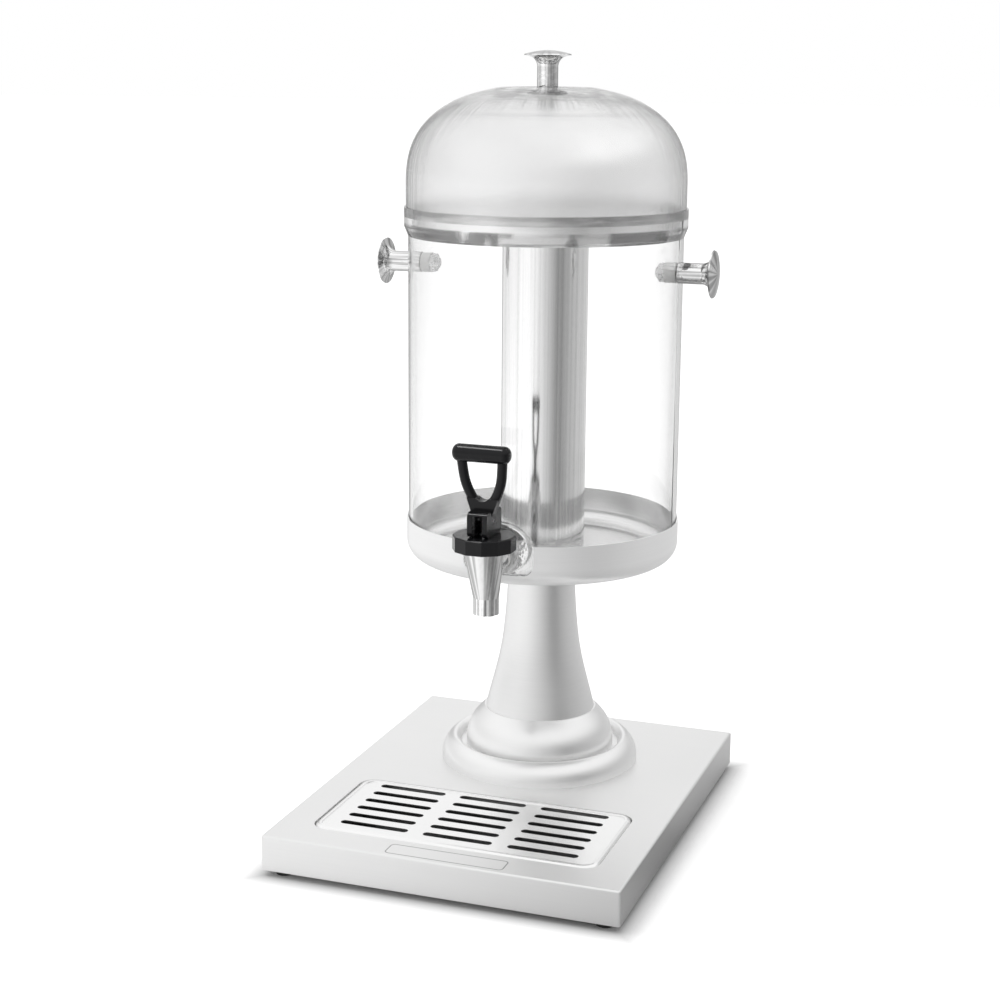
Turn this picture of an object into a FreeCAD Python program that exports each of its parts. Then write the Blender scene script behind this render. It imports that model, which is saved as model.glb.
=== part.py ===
import FreeCAD, Part
import math
import os

os.makedirs("parts", exist_ok=True)

V = FreeCAD.Vector
X_AXIS = V(1, 0, 0)
Y_AXIS = V(0, 1, 0)
Z_AXIS = V(0, 0, 1)

# Origin at the centre of the base on the table, +Z up, the tap towards -Y, millimetres.

# Clearances
seat_gap = 0.3
shaft_gap = 0.05
bolt_gap = 0.2
thread_gap = 0.05
tray_side_gap = 0.5

# Base box and its bottom cover
base_width = 260.0
base_depth = 322.0
base_height = 25.4
base_sheet = 1.0
base_edge_radius = 1.6
cover_sheet = 1.0

# Feet
foot_height = 4.5
foot_top_radius = 7.5
foot_bottom_radius = 5.8
foot_inset_x = 13.0
foot_inset_y = 10.5
foot_screw_radius = 1.5
foot_screw_head_radius = 2.7
foot_screw_head_height = 1.8
foot_screw_bite = 8.0
corner_post_radius = 4.5

# Drip area
recess_width = 210.6
recess_depth = 100.0
recess_corner_radius = 12.0
recess_sink = 6.2
recess_ledge = 5.0
drip_centre_y = -85.0
tray_sheet = 0.8
tray_well_depth = 16.0
tray_well_corner_radius = 9.0
grille_sheet = 0.8
grille_rise = 0.9
grille_edge_radius = 3.6
grille_rim = 4.6
grille_dish_depth = 0.7
grille_dish_edge = 0.6
slot_columns = 3
slot_rows = 6
slot_length = 51.0
slot_width = 6.0
slot_column_pitch = 62.5
slot_row_pitch = 14.5
slot_shift_y = 3.0

# Column
axis_y = 61.3
column_sheet = 1.2
foot_ring_radius = 75.5
foot_ring_height = 17.0
collar_height = 41.0
collar_bottom_radius = 56.6
column_height = 158.6
column_bottom_radius = 41.7
column_top_radius = 25.2
top_disc_flange_radius = 32.0
top_disc_flange = 2.0
top_disc_thickness = 6.0
stiffener_width = 130.0
stiffener_depth = 130.0
stiffener_thickness = 3.0

# Tie rod of the column
tie_rod_radius = 4.0
tie_rod_overhang = 0.8
tie_nut_across_flats = 13.0
tie_nut_height = 4.0
tie_washer_radius = 12.0
tie_washer_thickness = 1.5

# Holder under the barrel
holder_sheet = 1.0
holder_height = 31.3
holder_corner_radius = 14.0
notch_half_width = 26.5
notch_floor_height = 9.5
notch_corner_radius = 8.0

# Barrel
barrel_radius = 101.2
barrel_wall = 2.8
barrel_floor = 3.0
barrel_height = 254.2
barrel_rim_radius = 104.0
barrel_rim_height = 7.0
barrel_rim_taper = 7.0
pocket_radius = 28.5
pocket_depth = 13.0
pocket_wall = 3.0
pad_half_width = 25.0
pad_half_height = 19.0
pad_centre_height = 27.7
pad_thickness = 3.0
pad_edge_radius = 1.2
pad_inner_radius = 14.0
pad_inner_rise = 1.2

# Ice tube
ice_tube_radius = 31.75
ice_tube_wall = 0.8
ice_tube_drop = 8.2
ice_tube_bead = 0.9
ice_stud_radius = 4.0
ice_stud_overhang = 0.6
ice_nut_across_flats = 13.0
ice_nut_height = 5.0
ice_gasket_radius = 10.0
ice_gasket_thickness = 1.0

# Knobs, the same on the lid and on both sides of the barrel
knob_stem_radius = 7.6
knob_disc_radius = 17.2
knob_flare_start = 16.5
knob_disc_height = 25.0
knob_rim = 0.9
knob_crown = 3.6
knob_bore_depth = 14.0
knob_stud_radius = 2.45
side_knob_drop = 37.5
side_sleeve_radius = 7.3
side_sleeve_length = 7.7
cap_nut_across_flats = 13.0
cap_nut_length = 6.6
cap_nut_roof = 1.8
cap_nut_tip_radius = 3.0

# Lid
lid_flange_radius = 104.0
lid_flange_height = 6.5
lid_plug_depth = 11.5
lid_plug_gap = 0.4
lid_plug_wall = 2.6
lid_dome_radius = 102.6
lid_dome_wall = 2.6
lid_skirt_height = 16.0
lid_dome_rise = 71.0
lid_dome_power = 2.5
lid_crest_radius = 30.0
dimple_radius = 18.5
dimple_height = 81.4
lid_washer_radius = 13.4
lid_washer_thickness = 1.5
lid_sleeve_length = 4.0

# Tap
tap_distance = 128.0
tap_shank_height = 21.7
shank_radius = 8.0
shank_bore_radius = 4.8
shank_inner_length = 12.6
shoulder_radius = 11.0
shoulder_thickness = 2.8
neck_radius = 8.6
tap_gasket_thickness = 1.5
tap_gasket_radius = 12.4
tap_nut_across_flats = 24.0
tap_nut_thickness = 8.0
nozzle_drop = 36.0
nozzle_radius = 9.2
nozzle_length = 12.0
nozzle_setback = 4.0
nozzle_bore_radius = 6.2
flute_count = 8
flute_radius = 2.2
flute_depth = 0.7
spout_top_radius = 14.4
spout_top_rise = 10.5
collar_thread_radius = 14.9
collar_thread_length = 7.8
chamber_radius = 8.5
chamber_drop = 7.5
throat_radius = 4.6
throat_drop = 11.0
bonnet_radius = 22.4
bonnet_sides = 12
bonnet_height = 10.5
bonnet_rise = 11.5
bonnet_roof = 3.0
bonnet_bevel = 0.8

# Stem, seat cup, seal and spring inside the tap
stem_radius = 3.2
stem_lift = 3.6
stem_top_over_pin = 3.5
stem_collar_radius = 6.2
stem_collar_thickness = 1.6
cup_radius = 7.2
cup_height = 5.0
cup_neck_radius = 4.6
cup_neck_height = 2.0
seal_thickness = 2.4
spring_outer_radius = 6.2
spring_inner_radius = 4.2

# Handle
handle_base_width = 14.6
handle_base_depth = 30.0
handle_base_height = 18.0
handle_base_gap = 0.4
handle_corner_radius = 4.0
handle_slot_width = 7.4
handle_slot_back = 5.0
handle_slot_top = 5.2
pin_height = 10.5
pin_radius = 1.45
handle_leg_radius = 3.5
handle_bar_radius = 6.2
handle_bar_length = 42.0
handle_bar_end_radius = 4.8
handle_bar_height = 58.2
handle_bar_lead = 6.0
loop_top_half_width = 14.8
loop_mid_half_width = 10.2
loop_bottom_height = 20.8
gusset_half_width = 11.5
gusset_top_height = 26.5
gusset_depth = 8.0


# Heights that follow from the sizes above
base_bottom_z = foot_height
base_top_z = base_bottom_z + base_height
cover_top_z = base_bottom_z + cover_sheet
sheet_under_z = base_top_z - base_sheet
ledge_z = base_top_z - recess_sink
column_z = base_top_z + collar_height
column_top_z = column_z + column_height - collar_height
disc_top_z = column_top_z + top_disc_flange
holder_z = disc_top_z
holder_floor_z = holder_z + holder_sheet
holder_rim_z = holder_z + holder_height
barrel_z = holder_floor_z + seat_gap
barrel_floor_z = barrel_z + barrel_floor
pocket_roof_z = barrel_z + pocket_depth
plateau_z = pocket_roof_z + pocket_wall
barrel_rim_z = barrel_z + barrel_height
knob_z = barrel_rim_z - side_knob_drop
lid_flange_top_z = barrel_rim_z + lid_flange_height
dome_start_z = lid_flange_top_z + lid_skirt_height
dimple_z = lid_flange_top_z + dimple_height
shank_z = barrel_z + tap_shank_height
pad_z = barrel_z + pad_centre_height

# Places that follow from the sizes above
barrel_inner_radius = barrel_radius - barrel_wall
holder_inner_radius = barrel_radius + seat_gap
holder_outer_radius = holder_inner_radius + holder_sheet
pad_face_y = axis_y - barrel_radius - pad_thickness
pad_inner_face_y = axis_y - barrel_inner_radius + pad_inner_rise
tap_y = axis_y - tap_distance
foot_x = base_width / 2 - foot_inset_x
foot_y = base_depth / 2 - foot_inset_y
foot_places = {
    "front_left": (-foot_x, -foot_y),
    "front_right": (foot_x, -foot_y),
    "back_left": (-foot_x, foot_y),
    "back_right": (foot_x, foot_y),
}


# Basic solids

def cylinder(radius, bottom, top, x=0.0, y=0.0):
    return Part.makeCylinder(radius, top - bottom, V(x, y, bottom), Z_AXIS)


def tube(outer, inner, bottom, top, x=0.0, y=0.0):
    solid = cylinder(outer, bottom, top, x, y)
    return solid.cut(cylinder(inner, bottom - 1, top + 1, x, y))


def rod_along_y(radius, start, end, x, z):
    return Part.makeCylinder(radius, end - start, V(x, start, z), Y_AXIS)


def ring_along_y(outer, inner, start, end, x, z):
    solid = rod_along_y(outer, start, end, x, z)
    return solid.cut(rod_along_y(inner, start - 1, end + 1, x, z))


def box(x0, x1, y0, y1, z0, z1):
    return Part.makeBox(x1 - x0, y1 - y0, z1 - z0, V(x0, y0, z0))


def upright_edges(solid):
    picked = []
    for edge in solid.Edges:
        ends = [vertex.Point for vertex in edge.Vertexes]
        if len(ends) == 2 and math.hypot(ends[0].x - ends[1].x, ends[0].y - ends[1].y) < 1e-6:
            picked.append(edge)
    return picked


def edges_at_height(solid, z):
    picked = []
    for edge in solid.Edges:
        bounds = edge.BoundBox
        if abs(bounds.ZMin - z) < 1e-6 and abs(bounds.ZMax - z) < 1e-6:
            picked.append(edge)
    return picked


def rounded_block(width, depth, radius, z0, z1, y=0.0):
    solid = box(-width / 2, width / 2, y - depth / 2, y + depth / 2, z0, z1)
    return solid.makeFillet(radius, upright_edges(solid))


def prism(sides, across_flats, bottom, top, x=0.0, y=0.0):
    corner = across_flats / 2 / math.cos(math.pi / sides)
    angles = [2 * math.pi * (i + 0.5) / sides for i in range(sides + 1)]
    points = [V(x + corner * math.cos(a), y + corner * math.sin(a), bottom) for a in angles]
    return Part.Face(Part.makePolygon(points)).extrude(V(0, 0, top - bottom))


def hex_nut(across_flats, bore, bottom, top, x=0.0, y=0.0):
    return prism(6, across_flats, bottom, top, x, y).cut(cylinder(bore, bottom - 1, top + 1, x, y))


# Turned shapes: an outline is a list of runs, and each run is a list of (radius, height) points.
# Two points make a line and more make a smooth curve.

def outline_wire(runs):
    edges = []
    for run in runs:
        points = [V(radius, 0, height) for radius, height in run]
        if len(points) == 2:
            edges.append(Part.makeLine(points[0], points[1]))
        else:
            curve = Part.BSplineCurve()
            curve.interpolate(points)
            edges.append(curve.toShape())
    return Part.Wire(edges)


def turned(runs, x=0.0, y=0.0, z=0.0):
    solid = Part.Face(outline_wire(runs)).revolve(V(0, 0, 0), Z_AXIS, 360)
    solid = Part.Solid(solid) if solid.ShapeType == "Shell" else solid
    solid.translate(V(x, y, z))
    return solid


def polygon_runs(points):
    closed = points + [points[0]]
    return [[closed[i], closed[i + 1]] for i in range(len(points))]


def inset_run(run, distance):
    moved = []
    for i, (radius, height) in enumerate(run):
        before = run[max(i - 1, 0)]
        after = run[min(i + 1, len(run) - 1)]
        run_radius = after[0] - before[0]
        run_height = after[1] - before[1]
        length = math.hypot(run_radius, run_height)
        moved.append((radius - distance * run_height / length, height + distance * run_radius / length))
    # Both ends keep their heights, so that the sheet starts and stops level.
    moved[0] = (moved[0][0], run[0][1])
    moved[-1] = (moved[-1][0], run[-1][1])
    return moved


def spun_sheet(run, sheet, y, z):
    # The outer run climbs from its foot to its top; the sheet lies on its inner side.
    inner = inset_run(run, sheet)
    back = list(reversed(inner))
    return turned([run, [run[-1], back[0]], back, [back[-1], run[0]]], 0.0, y, z)


# Base

def base_shell():
    outer = box(-base_width / 2, base_width / 2, -base_depth / 2, base_depth / 2, base_bottom_z, base_top_z)
    rounded = upright_edges(outer) + edges_at_height(outer, base_top_z)
    outer = outer.makeFillet(base_edge_radius, rounded)
    half_width = base_width / 2 - base_sheet
    half_depth = base_depth / 2 - base_sheet
    hollow = box(-half_width, half_width, -half_depth, half_depth, base_bottom_z - 1, sheet_under_z)
    opening = rounded_block(recess_width, recess_depth, recess_corner_radius, ledge_z, base_top_z + 1,
                            drip_centre_y)
    shell = outer.cut(hollow).cut(opening)
    pocket_bottom = ledge_z - base_sheet
    pocket = rounded_block(recess_width + 2 * base_sheet, recess_depth + 2 * base_sheet,
                           recess_corner_radius + base_sheet, pocket_bottom, sheet_under_z, drip_centre_y)
    pocket = pocket.cut(opening)
    well = rounded_block(recess_width - 2 * recess_ledge, recess_depth - 2 * recess_ledge,
                         recess_corner_radius - recess_ledge / 2, pocket_bottom - 1, ledge_z + 1,
                         drip_centre_y)
    pocket = pocket.cut(well)
    shell = shell.fuse(pocket)
    return shell.cut(cylinder(tie_rod_radius + bolt_gap, sheet_under_z - 1, base_top_z + 1, 0, axis_y))


def bottom_cover():
    half_width = base_width / 2 - base_sheet - seat_gap
    half_depth = base_depth / 2 - base_sheet - seat_gap
    cover = box(-half_width, half_width, -half_depth, half_depth, base_bottom_z, cover_top_z)
    for x, y in foot_places.values():
        cover = cover.cut(cylinder(foot_screw_radius + bolt_gap, base_bottom_z - 1, cover_top_z + 1, x, y))
    return cover


def foot(x, y):
    solid = turned(polygon_runs([(0, 0), (foot_bottom_radius, 0), (foot_top_radius, foot_height),
                                 (0, foot_height)]), x, y)
    head_room = foot_screw_head_height + foot_screw_radius / 2
    solid = solid.cut(cylinder(foot_screw_head_radius + bolt_gap, -1, head_room, x, y))
    return solid.cut(cylinder(foot_screw_radius + bolt_gap, -1, foot_height + 1, x, y))


def foot_screw(x, y):
    head_bottom = foot_screw_radius / 2
    head = cylinder(foot_screw_head_radius, head_bottom, head_bottom + foot_screw_head_height, x, y)
    return head.fuse(cylinder(foot_screw_radius, head_bottom, cover_top_z + foot_screw_bite, x, y))


def corner_post(x, y):
    post = cylinder(corner_post_radius, cover_top_z, sheet_under_z, x, y)
    bore_top = cover_top_z + foot_screw_bite + bolt_gap
    return post.cut(cylinder(foot_screw_radius + thread_gap, cover_top_z - 1, bore_top, x, y))


def stiffener():
    plate = box(-stiffener_width / 2, stiffener_width / 2, axis_y - stiffener_depth / 2,
                axis_y + stiffener_depth / 2, sheet_under_z - stiffener_thickness, sheet_under_z)
    return plate.cut(cylinder(tie_rod_radius + bolt_gap, 0, base_top_z, 0, axis_y))


# Drip tray and its grille

def drip_tray():
    width = recess_width - 2 * tray_side_gap
    depth = recess_depth - 2 * tray_side_gap
    rim = rounded_block(width, depth, recess_corner_radius - tray_side_gap, ledge_z, ledge_z + tray_sheet,
                        drip_centre_y)
    well_width = width - 2 * recess_ledge
    well_depth = depth - 2 * recess_ledge
    well = rounded_block(well_width, well_depth, tray_well_corner_radius, ledge_z - tray_well_depth,
                         ledge_z + tray_sheet, drip_centre_y)
    hollow = rounded_block(well_width - 2 * tray_sheet, well_depth - 2 * tray_sheet,
                           tray_well_corner_radius - tray_sheet,
                           ledge_z - tray_well_depth + tray_sheet, ledge_z + 2 * tray_sheet, drip_centre_y)
    return rim.fuse(well).cut(hollow)


def grille_slot(x, y, bottom, top):
    half = slot_length / 2 - slot_width / 2
    slot = box(x - half, x + half, y - slot_width / 2, y + slot_width / 2, bottom, top)
    for side in (-1, 1):
        slot = slot.fuse(cylinder(slot_width / 2, bottom, top, x + side * half, y))
    return slot


def drip_grille():
    width = recess_width - 2 * tray_side_gap
    depth = recess_depth - 2 * tray_side_gap
    radius = recess_corner_radius - tray_side_gap
    bottom = ledge_z + tray_sheet
    top = base_top_z + grille_rise
    outer = rounded_block(width, depth, radius, bottom, top, drip_centre_y)
    outer = outer.makeFillet(grille_edge_radius, edges_at_height(outer, top))
    plate_top = top - grille_dish_depth
    inner_top = plate_top - grille_sheet
    inner = rounded_block(width - 2 * grille_sheet, depth - 2 * grille_sheet, radius - grille_sheet,
                          bottom - 1, inner_top, drip_centre_y)
    inner = inner.makeFillet(grille_edge_radius - grille_sheet, edges_at_height(inner, inner_top))
    dish = rounded_block(width - 2 * grille_rim, depth - 2 * grille_rim, radius - grille_rim, plate_top,
                         top + 1, drip_centre_y)
    dish = dish.makeFillet(grille_dish_edge, edges_at_height(dish, plate_top))
    grille = outer.cut(inner).cut(dish)
    slots = []
    for column in range(slot_columns):
        x = (column - (slot_columns - 1) / 2) * slot_column_pitch
        for row in range(slot_rows):
            y = drip_centre_y + slot_shift_y + (row - (slot_rows - 1) / 2) * slot_row_pitch
            slots.append(grille_slot(x, y, inner_top - 1, top + 1))
    return grille.cut(Part.makeCompound(slots))


# Column

def foot_ring():
    shelf_height = foot_ring_height - 6.0
    outer = [(foot_ring_radius, 0), (foot_ring_radius - 0.1, 4.0), (foot_ring_radius - 2.2, 10.5),
             (foot_ring_radius - 6.0, 15.2), (foot_ring_radius - 10.3, foot_ring_height),
             (foot_ring_radius - 13.2, foot_ring_height - 1.6),
             (foot_ring_radius - 14.5, shelf_height)]
    inner = list(reversed(inset_run(outer, column_sheet)))
    shelf_inner_radius = collar_bottom_radius - 6.0
    shelf_bottom = shelf_height - column_sheet
    inner[0] = (outer[-1][0] + column_sheet, shelf_bottom)
    runs = [outer, [outer[-1], (shelf_inner_radius, shelf_height)],
            [(shelf_inner_radius, shelf_height), (shelf_inner_radius, shelf_bottom)],
            [(shelf_inner_radius, shelf_bottom), inner[0]], inner, [inner[-1], outer[0]]]
    return turned(runs, 0, axis_y, base_top_z)


def column_collar():
    foot_of_collar = foot_ring_height - 6.0
    seat_radius = column_bottom_radius + 1.2
    outer = [(collar_bottom_radius, foot_of_collar), (collar_bottom_radius - 0.1, foot_of_collar + 6.0),
             (collar_bottom_radius - 1.5, 24.0), (collar_bottom_radius - 5.0, 31.3),
             (collar_bottom_radius - 9.2, 36.4), (seat_radius, collar_height)]
    inner = list(reversed(inset_run(outer, column_sheet)))
    flange_radius = column_bottom_radius - 7.0
    flange_bottom = collar_height - column_sheet
    inner[0] = (seat_radius - column_sheet / 2, flange_bottom)
    runs = [outer, [outer[-1], (flange_radius, collar_height)],
            [(flange_radius, collar_height), (flange_radius, flange_bottom)],
            [(flange_radius, flange_bottom), inner[0]], inner, [inner[-1], outer[0]]]
    return turned(runs, 0, axis_y, base_top_z)


def column():
    flare = column_bottom_radius - column_top_radius
    height = column_height - collar_height
    outer = [(column_bottom_radius, 0), (column_top_radius + 0.713 * flare, 0.16 * height),
             (column_top_radius + 0.461 * flare, 0.30 * height),
             (column_top_radius + 0.27 * flare, 0.44 * height),
             (column_top_radius + 0.152 * flare, 0.58 * height),
             (column_top_radius + 0.073 * flare, 0.72 * height), (column_top_radius, height)]
    return spun_sheet(outer, column_sheet, axis_y, column_z)


def column_top_disc():
    plug_radius = column_top_radius - column_sheet - bolt_gap
    plug = cylinder(plug_radius, disc_top_z - top_disc_thickness, disc_top_z, 0, axis_y)
    flange = cylinder(top_disc_flange_radius, column_top_z, disc_top_z, 0, axis_y)
    rod_hole = cylinder(tie_rod_radius + bolt_gap, 0, disc_top_z + 1, 0, axis_y)
    return plug.fuse(flange).cut(rod_hole)


def tie_washer_spans():
    low_top = sheet_under_z - stiffener_thickness
    return [(low_top - tie_washer_thickness, low_top),
            (holder_floor_z, holder_floor_z + tie_washer_thickness)]


def tie_nut_spans():
    low, high = tie_washer_spans()
    return [(low[0] - tie_nut_height, low[0]), (high[1], high[1] + tie_nut_height)]


def tie_rod():
    low, high = tie_nut_spans()
    return cylinder(tie_rod_radius, low[0] - tie_rod_overhang, high[1] + tie_rod_overhang, 0, axis_y)


def tie_rod_washers():
    bore = tie_rod_radius + bolt_gap
    return Part.makeCompound([tube(tie_washer_radius, bore, low, high, 0, axis_y)
                              for low, high in tie_washer_spans()])


def tie_rod_nuts():
    bore = tie_rod_radius + thread_gap
    return Part.makeCompound([hex_nut(tie_nut_across_flats, bore, low, high, 0, axis_y)
                              for low, high in tie_nut_spans()])


# Holder under the barrel

def cup_solid(radius, corner_radius, bottom, top):
    # A flat-bottomed round block with a rounded lower edge.
    solid = cylinder(radius, bottom, top, 0, axis_y)
    return solid.makeFillet(corner_radius, edges_at_height(solid, bottom))


def holder_notch():
    bottom = holder_z + notch_floor_height
    top = holder_rim_z + notch_corner_radius + 1
    front = axis_y - holder_outer_radius
    notch = box(-notch_half_width, notch_half_width, front - 1, axis_y - holder_outer_radius / 2, bottom, top)
    corners = []
    for edge in notch.Edges:
        bounds = edge.BoundBox
        along_y = bounds.YLength > 1 and bounds.XLength < 1e-6 and bounds.ZLength < 1e-6
        if along_y and abs(bounds.ZMin - bottom) < 1e-6:
            corners.append(edge)
    return notch.makeFillet(notch_corner_radius, corners)


def barrel_holder():
    outer = cup_solid(holder_outer_radius, holder_corner_radius, holder_z, holder_rim_z)
    inner = cup_solid(holder_inner_radius, holder_corner_radius - holder_sheet, holder_floor_z,
                      holder_rim_z + 1)
    holder = outer.cut(inner).cut(holder_notch())
    return holder.cut(cylinder(tie_rod_radius + bolt_gap, holder_z - 1, holder_floor_z + 1, 0, axis_y))


# Barrel

def oval_pad():
    ellipse = Part.Ellipse(V(0, 0, 0), pad_half_width, pad_half_height)
    face = Part.Face(Part.Wire([ellipse.toShape()]))
    face.rotate(V(0, 0, 0), X_AXIS, 90)
    back_y = axis_y - barrel_inner_radius * 0.9
    face.translate(V(0, back_y, pad_z))
    pad = face.extrude(V(0, pad_face_y - back_y, 0))
    front = [edge for edge in pad.Edges
             if abs(edge.BoundBox.YMax - pad_face_y) < 1e-4 and edge.BoundBox.YLength < 1e-3]
    return pad.makeFillet(pad_edge_radius, front)


def barrel():
    corner = holder_corner_radius - holder_sheet - seat_gap
    outer = cup_solid(barrel_radius, corner, barrel_z, barrel_rim_z)
    taper_z = barrel_rim_z - barrel_rim_height - barrel_rim_taper
    rim = turned(polygon_runs([(0, taper_z), (barrel_radius, taper_z),
                               (barrel_rim_radius, barrel_rim_z - barrel_rim_height),
                               (barrel_rim_radius, barrel_rim_z), (0, barrel_rim_z)]), 0, axis_y)
    inner = cup_solid(barrel_inner_radius, corner - barrel_wall, barrel_floor_z, barrel_rim_z + 1)
    plateau = cylinder(pocket_radius + pocket_wall, barrel_z, plateau_z, 0, axis_y)
    pocket = cylinder(pocket_radius, barrel_z - 1, pocket_roof_z, 0, axis_y)
    inner_pad = rod_along_y(pad_inner_radius, axis_y - barrel_radius, pad_inner_face_y, 0, shank_z)
    inner_pad = inner_pad.common(outer)
    solid = outer.fuse(rim).fuse(oval_pad()).cut(inner).fuse(plateau).cut(pocket).fuse(inner_pad)
    shank_hole = rod_along_y(shank_radius + bolt_gap, pad_face_y - 1, pad_inner_face_y + 1, 0, shank_z)
    stud_hole = cylinder(ice_stud_radius + bolt_gap, pocket_roof_z - 1, plateau_z + 1, 0, axis_y)
    knob_hole = Part.makeCylinder(knob_stud_radius + bolt_gap, 2 * barrel_rim_radius,
                                  V(-barrel_rim_radius, axis_y, knob_z), X_AXIS)
    return solid.cut(shank_hole).cut(stud_hole).cut(knob_hole)


# Ice tube

def ice_nut_bottom():
    return pocket_roof_z - ice_gasket_thickness - ice_nut_height


def ice_tube():
    top = barrel_rim_z - ice_tube_drop
    body = cylinder(ice_tube_radius, plateau_z, top, 0, axis_y)
    bead_place = V(0, axis_y, top - ice_tube_bead)
    bead = Part.makeTorus(ice_tube_radius - ice_tube_bead / 2, ice_tube_bead, bead_place)
    hollow = cylinder(ice_tube_radius - ice_tube_wall, plateau_z + 2 * ice_tube_wall, top + 1, 0, axis_y)
    stud = cylinder(ice_stud_radius, ice_nut_bottom() - ice_stud_overhang, plateau_z, 0, axis_y)
    return body.fuse(bead).cut(hollow).fuse(stud)


def ice_tube_gasket():
    return tube(ice_gasket_radius, ice_stud_radius + bolt_gap, pocket_roof_z - ice_gasket_thickness,
                pocket_roof_z, 0, axis_y)


def ice_tube_nut():
    return hex_nut(ice_nut_across_flats, ice_stud_radius + thread_gap, ice_nut_bottom(),
                   pocket_roof_z - ice_gasket_thickness, 0, axis_y)


# Knobs: each is built upright on the origin and then placed

def knob():
    stem = knob_stem_radius
    disc = knob_disc_radius
    height = knob_disc_height
    run = height - knob_flare_start
    flare = [(stem, knob_flare_start), (stem + 0.08 * (disc - stem), knob_flare_start + 0.44 * run),
             (stem + 0.32 * (disc - stem), knob_flare_start + 0.77 * run),
             (stem + 0.65 * (disc - stem), knob_flare_start + 0.93 * run), (disc, height)]
    rim_top = height + knob_rim
    top = height + knob_crown
    crown = [(disc - knob_rim / 2, rim_top), (0.5 * disc, rim_top + 0.72 * (top - rim_top)), (0, top)]
    solid = turned([[(0, 0), (stem, 0)], [(stem, 0), (stem, knob_flare_start)], flare,
                    [(disc, height), (disc - knob_rim / 2, rim_top)], crown, [(0, top), (0, 0)]])
    return solid.cut(cylinder(knob_stud_radius + thread_gap, -1, knob_bore_depth))


def knob_stud(wall, sleeve):
    # Runs from inside the knob, through the wall and the sleeve, into the cap nut.
    nut_bite = cap_nut_length - cap_nut_roof - bolt_gap
    return cylinder(knob_stud_radius, -wall - sleeve - nut_bite, knob_bore_depth - bolt_gap)


def knob_sleeve(start, length):
    return tube(side_sleeve_radius, knob_stud_radius + bolt_gap, start - length, start)


def cap_nut(seat):
    # A hexagon whose free end narrows to a blunt tip.
    body = prism(6, cap_nut_across_flats, seat - cap_nut_length, seat)
    corner = cap_nut_across_flats / 2 / math.cos(math.pi / 6)
    taper_z = seat - cap_nut_length / 2
    tip_z = seat - cap_nut_length
    envelope = turned(polygon_runs([(0, tip_z), (cap_nut_tip_radius, tip_z), (corner, taper_z),
                                    (corner, seat), (0, seat)]))
    bore_end = seat - cap_nut_length + cap_nut_roof
    return body.common(envelope).cut(cylinder(knob_stud_radius + thread_gap, bore_end, seat + 1))


def place_side(solid, side, base_x):
    # The knob's base lies at base_x and its disc points away from the barrel.
    solid.rotate(V(0, 0, 0), Y_AXIS, 90 * side)
    solid.translate(V(side * base_x, axis_y, knob_z))
    return solid


def save_side_knob(name, side):
    base_x = barrel_radius + thread_gap
    sleeve_rim = math.sqrt(barrel_inner_radius ** 2 - side_sleeve_radius ** 2)
    sleeve_start = sleeve_rim - thread_gap - base_x
    save("side_knob_" + name, place_side(knob(), side, base_x))
    stud = knob_stud(-sleeve_start, side_sleeve_length)
    save("side_knob_stud_" + name, place_side(stud, side, base_x))
    save("side_knob_sleeve_" + name, place_side(knob_sleeve(sleeve_start, side_sleeve_length), side, base_x))
    save("side_knob_nut_" + name, place_side(cap_nut(sleeve_start - side_sleeve_length), side, base_x))


# Lid

def dome_run(radius, rise, start_z, from_radius):
    # Quarter of a superellipse, from its foot up to from_radius.
    steps = 12
    last = math.acos((from_radius / radius) ** (lid_dome_power / 2))
    run = []
    for i in range(steps + 1):
        angle = last * i / steps
        across = radius * math.cos(angle) ** (2 / lid_dome_power)
        up = start_z + rise * math.sin(angle) ** (2 / lid_dome_power)
        run.append((across, up))
    return run


def dimple_run(inset):
    floor_z = dimple_z - inset
    crest = lid_crest_radius
    dome_rise = lid_dome_rise - inset
    crest_run = dome_run(lid_dome_radius - inset, dome_rise, dome_start_z, crest)
    slope = crest - dimple_radius
    depth = crest_run[-1][1] - floor_z
    return crest_run + [(dimple_radius + 0.83 * slope, floor_z + 0.98 * depth),
                        (dimple_radius + 0.48 * slope, floor_z + 0.73 * depth),
                        (dimple_radius + 0.22 * slope, floor_z + 0.22 * depth), (dimple_radius, floor_z)]


def lid_dome():
    outer = dimple_run(0.0)
    inner = list(reversed(dimple_run(lid_dome_wall)))
    floor_top = dimple_z
    floor_bottom = dimple_z - lid_dome_wall
    plug_radius = barrel_inner_radius - lid_plug_gap
    plug_inner = plug_radius - lid_plug_wall
    plug_bottom = barrel_rim_z - lid_plug_depth
    dome_inner_radius = lid_dome_radius - lid_dome_wall
    corners = [(dome_inner_radius, dome_start_z), (dome_inner_radius, lid_flange_top_z),
               (plug_inner, barrel_rim_z), (plug_inner, plug_bottom), (plug_radius, plug_bottom),
               (plug_radius, barrel_rim_z), (lid_flange_radius, barrel_rim_z),
               (lid_flange_radius, lid_flange_top_z), (lid_dome_radius, lid_flange_top_z),
               (lid_dome_radius, dome_start_z)]
    lower = [[corners[i], corners[i + 1]] for i in range(len(corners) - 1)]
    runs = lower + [outer, [outer[-1], (0, floor_top)], [(0, floor_top), (0, floor_bottom)],
                    [(0, floor_bottom), inner[0]], inner]
    solid = turned(runs, 0, axis_y)
    return solid.cut(cylinder(knob_stud_radius + bolt_gap, floor_bottom - 1, floor_top + 1, 0, axis_y))


def place_on_lid(solid):
    solid.translate(V(0, axis_y, dimple_z + lid_washer_thickness))
    return solid


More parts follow.
